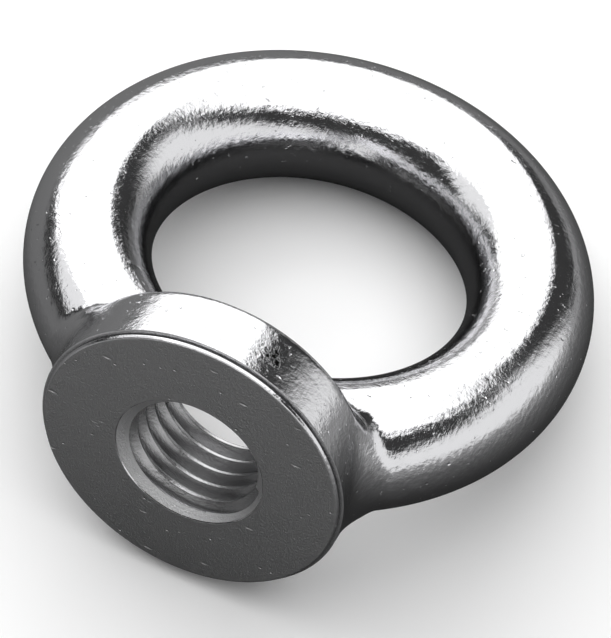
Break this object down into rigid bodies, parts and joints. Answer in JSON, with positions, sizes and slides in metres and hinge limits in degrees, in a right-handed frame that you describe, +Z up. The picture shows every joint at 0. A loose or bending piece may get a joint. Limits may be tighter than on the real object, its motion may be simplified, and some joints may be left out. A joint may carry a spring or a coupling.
{
  "type": "lifting eye nut",
  "caption": "Drop-forged lifting eye nut: a thick steel ring blended into a flat tapped collar, lying on its side.",
  "frame": {"origin": "on the floor, below the middle of the nut as it lies on its side", "axes": "+Z up; +Y from the collar towards the crown of the ring, with the thread axis dipping 11.54 degrees from it; +X across the ring"},
  "size_m": [0.09, 0.0932, 0.0508],
  "materials": {
    "forged_steel": "drop-forged, tumbled bright and zinc plated; bearing face faced off and darker"
  },
  "bodies": {
    "root": {"eye_nut": "forged_steel"}
  },
  "joints": []
}
